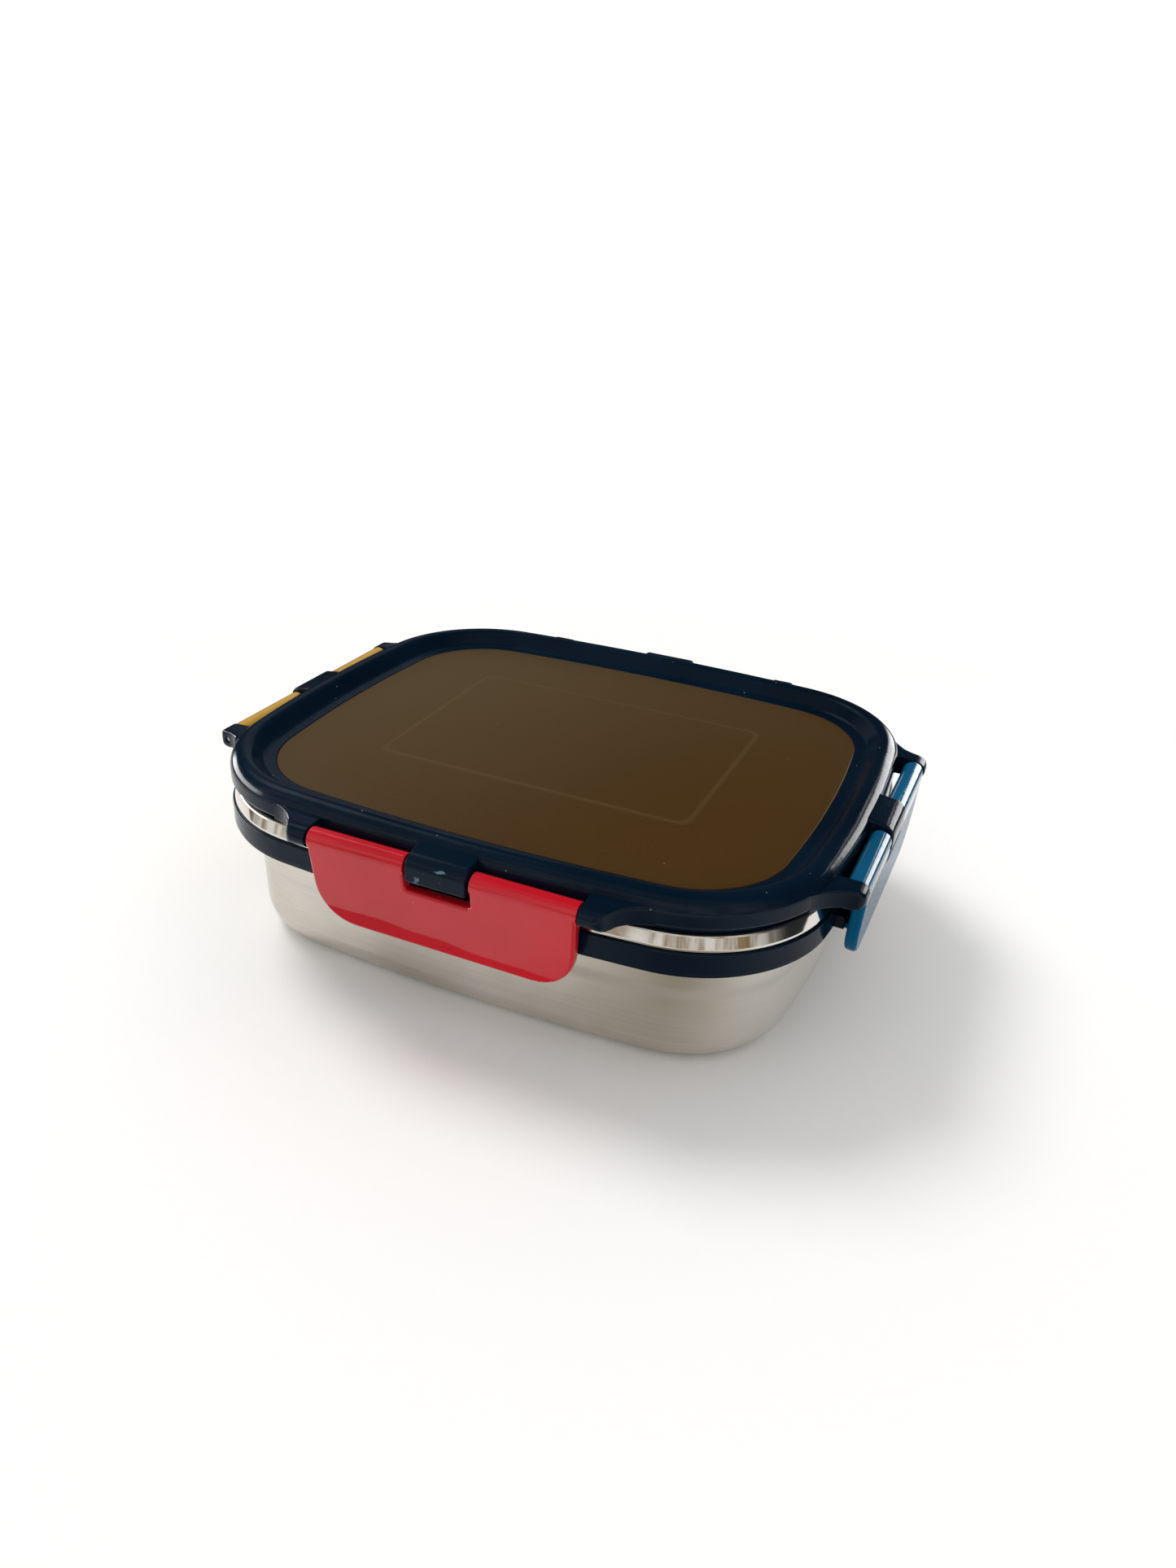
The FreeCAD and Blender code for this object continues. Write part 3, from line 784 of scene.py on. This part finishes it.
def makeLidFrame():
    shape = frameShape
    edge = shape["edge"]
    section = [
        (-shape["seatWidth"], shape["seatUnder"], shape["fineEdge"]),
        (-shape["seatWidth"], shape["seat"], shape["fineEdge"]),
        (0, shape["seat"], 0),
        (0, shape["level"], edge),
        (shape["ledge"], shape["level"] + shape["ledgeLift"], shape["coveRound"]),
        (shape["crestInner"], shape["crest"], shape["coveRound"]),
        (shape["crestOuter"], shape["crest"], shape["crestRound"]),
        (shape["crestOuter"], shape["beadBottom"], shape["beadRound"]),
        (shape["lip"], shape["beadBottom"] - shape["beadRound"], shape["fineEdge"]),
        (shape["lip"], shape["bottom"], edge),
        (shape["channelOuter"], shape["bottom"], edge),
        (shape["channelOuter"], shape["channelRoof"], shape["channelRound"]),
        (shape["channelInner"], shape["channelRoof"], shape["channelRound"]),
        (shape["channelInner"], shape["plugBottom"], edge),
        (shape["plugInner"], shape["plugBottom"], edge),
        (shape["plugInner"], shape["seatUnder"], shape["plugRound"]),
    ]
    lid = spunRing("lidRim", section)
    horns = []
    holes = []
    for side in sides.values():
        lug = makeLug(side)
        horns.append(put(twin(lug, "lugTwin"), side["turn"], mirrored=True))
        horns.append(put(lug, side["turn"]))
        horns.append(put(makeKnuckle(side), side["turn"]))
        start, end = pinRun(side)
        if side["entry"] > 0:
            end += hinge["holeRun"]
        else:
            start -= hinge["holeRun"]
        holes.append(put(makeRod("pinHole", side["half"], hinge["pinHole"], start, end, 0), side["turn"]))
    combine(lid, together("horns", horns), "UNION")
    combine(lid, together("pinHoles", holes), "DIFFERENCE")
    polish(lid)
    settle(lid, "lid", "dark_plastic", navyPlastic, "lid_frame")


makeLidFrame()
print("lid frame made")

# window: pillowed border, flat middle with a low raised rectangle
paneShape = {
    "edge": 0.08, "level": 52, "thickness": 2, "crown": 1.5, "reach": 24, "seat": 4.08, "crownSteps": 14,
    "edgeRound": 0.25, "edgeBand": 0.1, "sharp": 20, "panelLength": 50, "panelWidth": 35.5, "panelCorner": 4,
    "panelRise": 0.36, "panelSlope": 2.6, "panelRoot": 0.1,
}


def crownRun(outer, inner, low, rise):  # an arc from the edge up to the flat middle, level where it ends
    run = outer - inner
    bow = (run ** 2 + rise ** 2) / (2 * rise)
    points = []
    for step in range(paneShape["crownSteps"] + 1):
        offset = outer - run * step / paneShape["crownSteps"]
        points.append((offset, low + rise - bow + math.sqrt(bow ** 2 - (offset - inner) ** 2), 0))
    return points


def makeWindow():
    shape = paneShape
    seat = shape["level"] - shape["thickness"]
    top = crownRun(-shape["edge"], -shape["reach"], shape["level"], shape["crown"])
    under = crownRun(-shape["seat"], -shape["reach"], seat, shape["crown"])
    section = list(reversed(top)) + [(-shape["edge"], seat, 0)] + under
    pane = spunRing("windowPane", section, closed=False)
    long, wide, bend = shape["panelLength"], shape["panelWidth"], shape["panelCorner"]
    outline = [(-long, -wide, bend), (long, -wide, bend), (long, wide, bend), (-long, wide, bend)]
    flat = shape["level"] + shape["crown"]
    panel = prism("raisedPanel", outline, fromAbove(flat - shape["panelRoot"]),
                  Vector((0, 0, (shape["panelRoot"] + shape["panelRise"]) * mm)))
    only(panel)
    bpy.ops.object.mode_set(mode="EDIT")
    bpy.ops.mesh.select_mode(type="FACE")
    bpy.ops.mesh.select_all(action="DESELECT")
    bpy.ops.object.mode_set(mode="OBJECT")
    for face in panel.data.polygons:
        face.select = face.normal.z > 0.9  # the top
    bpy.ops.object.mode_set(mode="EDIT")
    slope = shape["panelSlope"]
    bpy.ops.transform.resize(value=(1 - slope / long, 1 - slope / wide, 1), center_override=(0, 0, 0))
    closeUp()
    softenEdges(pane, shape["edgeRound"], 2, lambda point: point.z < shape["level"] + shape["edgeBand"])
    combine(pane, panel, "UNION")
    polish(pane, shape["sharp"])
    settle(pane, "lid", "window", windowFinish, "lid_window")


makeWindow()
print("window made")

# silicone seal in the lid's channel: two lips under a square back
sealShape = {
    "inner": 6.25, "outer": 9.15, "low": 44.7, "top": 50.35, "edge": 0.35,
    "groove": 0.7, "grooveHalf": 0.35, "grooveRound": 0.2, "lipRound": 0.25, "sharp": 40,
}


def makeSeal():
    shape = sealShape
    middle = (shape["inner"] + shape["outer"]) / 2
    section = [
        (shape["inner"], shape["top"], shape["edge"]),
        (shape["inner"], shape["low"], shape["edge"]),
        (middle - shape["grooveHalf"], shape["low"], shape["lipRound"]),
        (middle, shape["low"] + shape["groove"], shape["grooveRound"]),
        (middle + shape["grooveHalf"], shape["low"], shape["lipRound"]),
        (shape["outer"], shape["low"], shape["edge"]),
        (shape["outer"], shape["top"], shape["edge"]),
    ]
    seal = spunRing("sealRing", section)
    polish(seal, shape["sharp"])
    settle(seal, "lid", "seal", siliconeFinish, "lid_seal")


makeSeal()
print("seal made")

# latch: barrels on the pin, leaning flap with round lower corners, notch for the knuckle, hook ridge inside
latchShape = {
    "lean": {"front": 6.5, "right": 3.5, "back": 6.5, "left": 6.5},
    "half": 39.0, "taper": 1.4, "length": 24.0, "thick": 3.4, "corner": 12.0,
    "edge": 1.45, "sharp": 60, "tuck": 1.0,
    "barrel": 3.1, "barrelGap": 0.03, "barrelEdge": 0.35, "bore": 1.05, "boreSpare": 1,
    "notchHalf": 9.5, "notchDepth": 6.2, "notchCorner": 1.0,
    "gate": 0.45, "gateHeight": 2, "gateBack": 1.7, "gateDrop": 0.7, "gateFacets": 16,
    "hookTop": 34.1, "hookTip": 3.6, "hookHeight": 2.8, "hookLip": 1.2, "hookHalf": 30.0,
    "hookRoot": 1, "hookRound": 0.4, "hookEdge": 0.3,
}
latchSlots = {
    "front": "red_plastic", "right": "blue_plastic", "back": "green_plastic", "left": "yellow_plastic",
}


def makeLatch(name, lean):  # drawn as if the outline's side were at y = 0
    shape = latchShape
    axis = hinge["reach"]
    height = hinge["height"]
    outer = axis + shape["barrel"]
    inner = outer - shape["thick"]
    bottom = height - shape["length"]
    half = shape["half"]
    foot = half - shape["taper"]
    notch = height - shape["notchDepth"]
    top = height + shape["tuck"]
    outline = [
        (-half, top, 0),
        (-foot, bottom, shape["corner"]),
        (foot, bottom, shape["corner"]),
        (half, top, 0),
        (shape["notchHalf"], top, 0),
        (shape["notchHalf"], notch, shape["notchCorner"]),
        (-shape["notchHalf"], notch, shape["notchCorner"]),
        (-shape["notchHalf"], top, 0),
    ]
    latch = prism(name, outline, fromFront(inner), Vector((0, shape["thick"] * mm, 0)))
    softenEdges(latch, shape["edge"], 4, lambda point: True, shape["sharp"])
    gap = shape["barrelGap"]
    for start, end in ((shape["notchHalf"], half), (-half, -shape["notchHalf"])):
        barrel = makeRod("barrel", 0, shape["barrel"], start + gap, end - gap, shape["barrelEdge"])
        combine(latch, barrel, "UNION")
    only(None)
    gatePlace = (0, (outer - shape["gateBack"]) * mm, (notch - shape["gateDrop"]) * mm)
    bpy.ops.mesh.primitive_cylinder_add(vertices=shape["gateFacets"], radius=shape["gate"] * mm,
                                        depth=shape["gateHeight"] * mm, location=gatePlace)
    gate = bpy.context.object  # stub left where the plastic flowed in
    bpy.ops.object.transform_apply(location=True, rotation=True, scale=True)
    combine(latch, gate, "UNION")
    only(latch)
    bpy.ops.object.mode_set(mode="EDIT")
    bpy.ops.mesh.select_all(action="SELECT")
    bpy.ops.transform.rotate(value=math.radians(lean), orient_axis="X",
                             center_override=(0, axis * mm, height * mm))
    closeUp()
    hookTop = shape["hookTop"]
    root = inner + shape["hookRoot"] - math.tan(math.radians(lean)) * (height - hookTop)
    tip = axis - shape["hookTip"]
    hook = [
        (root, hookTop, 0),
        (tip, hookTop, shape["hookRound"]),
        (tip, hookTop - shape["hookLip"], shape["hookRound"]),
        (root, hookTop - shape["hookHeight"], 0),
    ]
    hookHalf = shape["hookHalf"]
    ridge = prism("hookRidge", hook, sideways(-hookHalf), Vector((2 * hookHalf * mm, 0, 0)))
    softenEdges(ridge, shape["hookEdge"], 2, onEnds(hookHalf))
    combine(latch, ridge, "UNION")
    boreEnd = half + shape["boreSpare"]
    combine(latch, makeRod("latchBore", 0, shape["bore"], -boreEnd, boreEnd, 0), "DIFFERENCE")
    return latch


for sideName, side in sides.items():
    latch = makeLatch("latch" + sideName.title(), latchShape["lean"][sideName])
    put(latch, side["turn"], (0, side["half"] * mm, 0))
    polish(latch)
    settle(latch, sideName + "_latch", latchSlots[sideName], latchPlastic[sideName], "latch_" + sideName)
    pin = makeRod("pin" + sideName.title(), side["half"], hinge["pin"], *pinRun(side), hinge["pinEdge"])
    put(pin, side["turn"])
    polish(pin)
    settle(pin, "lid", "pin_steel", wireFinish, "hinge_pin_" + sideName)
print("latches and pins made")

# pale paper floor, white world, one soft sun, and cards that only reflections see; metres and degrees
floorLook = {
    "size": 60, "drop": 0.0002, "colour": paint(246, 245, 243), "shade": 0.985, "grainScale": 300,
    "rough": 0.8, "roughSpread": 0.1, "grainBump": (0.02, 0.1), "fade": (0.12, 0.34),
}
backdrop = {"white": 1.0, "fill": 0.75}
canopyLook = {
    "radius": 4.0, "segments": 96, "rings": 64, "low": 1, "high": 12,
    "dark": 0.03, "front": 0.3, "frontSpan": (-0.5, 1.0),
}
surroundLook = {
    "radius": 0.3, "height": 0.3, "facets": 128, "dark": (0.025, 0.027, 0.03, 1), "edge": 0.006,
    "frontSpan": (95, 125), "frontPale": (0.85, 0.85, 0.84, 1), "frontWarm": (0.26, 0.18, 0.09, 1),
    "stripStretch": (22, 22, 9), "stripFray": 0.65, "stripSpan": (0.4, 0.66),
    "windows": [
        {"turn": (-65, -25), "height": (0.11, 0.28), "level": 0.24, "soft": 12},
        {"turn": (-124, -84), "height": (0.035, 0.105), "level": 10, "soft": 4},
        {"turn": (20, 54), "height": (0.05, 0.15), "level": 7, "soft": 4},
        {"turn": (24, 60), "height": (0.184, 0.192), "level": 6, "soft": 3},
    ],
}
apronLook = {
    "along": (0.0, 0.2), "ahead": (0.05, 0.2), "height": 0.0003, "fade": 0.06, "shade": (0.26, 0.23, 0.17, 1),
}
sunLamp = {"place": (-0.85, 0.35, 1.05), "aim": (0, 0, 0), "spread": 24, "power": 1.5}


def makeFloor():  # keeps the shadow near the box and fades to white away from it
    look = floorLook
    only(None)
    bpy.ops.mesh.primitive_plane_add(size=look["size"], location=(0, 0, -look["drop"]))
    floor = bpy.context.object
    floor.name = "floor"
    paper = Finish("floorPaper", {})
    grain = paper.noise(look["grainScale"], 2)
    shade = paper.blend(grain, look["colour"], tuple(look["shade"] * part for part in look["colour"]))
    rough = look["rough"] + (grain - 0.5) * look["roughSpread"]
    paper.wear(shade, rough, paper.bump(grain, *look["grainBump"]))
    away = paper.node("ShaderNodeVectorMath", {"operation": "LENGTH"}, {0: paper.place}, "Value")
    kinds = ("Camera", "Glossy", "Transmission")
    rays = [paper.node("ShaderNodeLightPath", {}, {}, "Is %s Ray" % kind) for kind in kinds]
    share = (rays[0] + rays[1] + rays[2]) * paper.step(away, *look["fade"])
    white = paper.node("ShaderNodeEmission", {}, {"Color": (1, 1, 1, 1), "Strength": backdrop["white"]})
    plain = Value(paper, paper.shader.outputs[0])
    mixed = paper.node("ShaderNodeMixShader", {}, {0: share, 1: plain, 2: white})
    paper.link(paper.tree.nodes["Material Output"].inputs["Surface"], mixed)
    floor.data.materials.append(paper.material)


def onlyMirrored(card):  # seen by reflections alone
    card.visible_camera = False
    card.visible_diffuse = False
    card.visible_shadow = False
    card.visible_transmission = False


def grey(level):
    return (level, level, level, 1)


def cardCloth(name):  # glows, and takes no light of its own
    cloth = Finish(name, {"Base Color": grey(0), "Roughness": 1.0, "Specular IOR Level": 0.0})
    cloth.shader.inputs["Emission Strength"].default_value = 1
    return cloth


def makeCanopy():  # keeps the sky's white out of level faces, and fades to it at the horizon
    look = canopyLook
    low, high = (look["radius"] * math.sin(math.radians(look[key])) for key in ("low", "high"))
    only(None)
    bpy.ops.mesh.primitive_uv_sphere_add(segments=look["segments"], ring_count=look["rings"],
                                         radius=look["radius"])
    canopy = bpy.context.object
    canopy.name = "canopy"
    bpy.ops.object.mode_set(mode="EDIT")
    bpy.ops.mesh.select_all(action="SELECT")
    bpy.ops.mesh.bisect(plane_co=(0, 0, low), plane_no=(0, 0, 1), clear_inner=True)
    bpy.ops.object.mode_set(mode="OBJECT")
    cloth = cardCloth("canopyCloth")
    ahead = cloth.step(0 - cloth.part(cloth.place, "Y"), *look["frontSpan"])
    upper = cloth.blend(ahead, grey(look["dark"]), grey(look["front"]))
    fade = cloth.step(cloth.part(cloth.place, "Z"), low, high)
    cloth.link(cloth.shader.inputs["Emission Color"], cloth.blend(fade, grey(1), upper))
    canopy.data.materials.append(cloth.material)
    onlyMirrored(canopy)


def makeSurround():  # low wall: dark behind, streaked grey in front, four soft-edged windows
    look = surroundLook
    only(None)
    bpy.ops.mesh.primitive_cylinder_add(vertices=look["facets"], radius=look["radius"], depth=look["height"],
                                        end_fill_type="NOTHING", location=(0, 0, look["height"] / 2))
    wall = bpy.context.object
    wall.name = "surround"
    bpy.ops.object.transform_apply(location=True, rotation=True, scale=True)
    cloth = cardCloth("surroundCloth")
    x, y, z = (cloth.part(cloth.place, axis) for axis in "XYZ")
    turn = cloth.node("ShaderNodeMath", {"operation": "ARCTAN2"}, {0: x, 1: y}) * math.degrees(1)
    strips = cloth.noise(1, 4, cloth.stretched(look["stripStretch"]), look["stripFray"])
    front = cloth.blend(cloth.step(strips, *look["stripSpan"]), look["frontPale"], look["frontWarm"])
    shade = cloth.blend(cloth.step(cloth.size(turn), *look["frontSpan"]), look["dark"], front)
    for window in look["windows"]:
        across = cloth.within(turn, *window["turn"], window["soft"])
        upright = cloth.within(z, *window["height"], look["edge"])
        shade = cloth.blend(across * upright, shade, grey(window["level"]))
    cloth.link(cloth.shader.inputs["Emission Color"], shade)
    wall.data.materials.append(cloth.material)
    onlyMirrored(wall)


def makeApron():  # dims the floor in front of the right end
    look = apronLook
    left, right = look["along"]
    near, far = look["ahead"]
    fade = look["fade"]
    only(None)
    bpy.ops.mesh.primitive_plane_add(size=1, location=((left + right) / 2, -(near + far) / 2, look["height"]))
    card = bpy.context.object
    card.name = "apron"
    card.scale = (right - left, far - near, 1)
    bpy.ops.object.transform_apply(location=True, rotation=True, scale=True)
    cloth = cardCloth("apronCloth")
    x, y = (cloth.part(cloth.place, axis) for axis in "XY")
    cover = cloth.step(x, left, left + fade) * (1 - cloth.step(x, right - 2 * fade, right))
    cover = cover * cloth.step(y, -far, fade - far) * (1 - cloth.step(y, -near - fade, -near))
    cloth.link(cloth.shader.inputs["Alpha"], cover)
    cloth.shader.inputs["Emission Color"].default_value = look["shade"]
    card.data.materials.append(cloth.material)
    onlyMirrored(card)


def makeWorld():  # white where it is seen or mirrored, softer as light
    world = bpy.data.worlds.new("studioWorld")
    bpy.context.scene.world = world
    world.use_nodes = True
    nodes = world.node_tree.nodes
    links = world.node_tree.links
    background = nodes["Background"]
    background.inputs["Color"].default_value = (1, 1, 1, 1)
    path = nodes.new("ShaderNodeLightPath")
    seen = nodes.new("ShaderNodeMath")
    seen.operation = "MAXIMUM"
    mirrored = nodes.new("ShaderNodeMath")
    mirrored.operation = "MAXIMUM"
    links.new(path.outputs["Is Camera Ray"], seen.inputs[0])
    links.new(path.outputs["Is Glossy Ray"], mirrored.inputs[0])
    links.new(path.outputs["Is Transmission Ray"], mirrored.inputs[1])
    links.new(mirrored.outputs[0], seen.inputs[1])
    level = nodes.new("ShaderNodeMapRange")
    links.new(seen.outputs[0], level.inputs["Value"])
    level.inputs["To Min"].default_value = backdrop["fill"]
    level.inputs["To Max"].default_value = backdrop["white"]
    links.new(level.outputs[0], background.inputs["Strength"])


def makeSun():
    only(None)
    bpy.ops.object.light_add(type="SUN", location=sunLamp["place"])
    light = bpy.context.object
    light.name = "softSun"
    light.data.energy = sunLamp["power"]
    light.data.angle = math.radians(sunLamp["spread"])
    light.visible_camera = False
    way = Vector(sunLamp["aim"]) - Vector(sunLamp["place"])
    light.rotation_euler = way.to_track_quat("-Z", "Y").to_euler()


# camera as in the photo: mm and degrees, focal length and long side in the photo's pixels, clip in metres
shot = {
    "azimuth": 22.867, "elevation": 27.079, "roll": 2.853, "target": (13.930, -21.757, 52.0),
    "distance": 340.215, "focal": 1447, "longSide": 1927, "sensor": 36, "clip": 0.01,
}


def makeCamera():
    azimuth, elevation, roll = (math.radians(shot[key]) for key in ("azimuth", "elevation", "roll"))
    back = Vector((math.sin(azimuth) * math.cos(elevation), -math.cos(azimuth) * math.cos(elevation),
                   math.sin(elevation)))
    level = Vector((math.cos(azimuth), math.sin(azimuth), 0))
    upright = back.cross(level)
    right = level * math.cos(roll) + upright * math.sin(roll)
    up = upright * math.cos(roll) - level * math.sin(roll)
    eye = (Vector(shot["target"]) + back * shot["distance"]) * mm
    only(None)
    bpy.ops.object.camera_add()
    camera = bpy.context.object
    camera.name = "photoCamera"
    camera.matrix_world = Matrix.Translation(eye) @ Matrix((right, up, back)).transposed().to_4x4()
    camera.data.sensor_width = shot["sensor"]
    camera.data.lens = shot["sensor"] * shot["focal"] / shot["longSide"]
    camera.data.clip_start = shot["clip"]
    bpy.context.scene.camera = camera


makeFloor()
makeCanopy()
makeSurround()
makeApron()
makeWorld()
makeSun()
makeCamera()
bpy.context.scene.view_settings.view_transform = "Standard"
print("studio made")
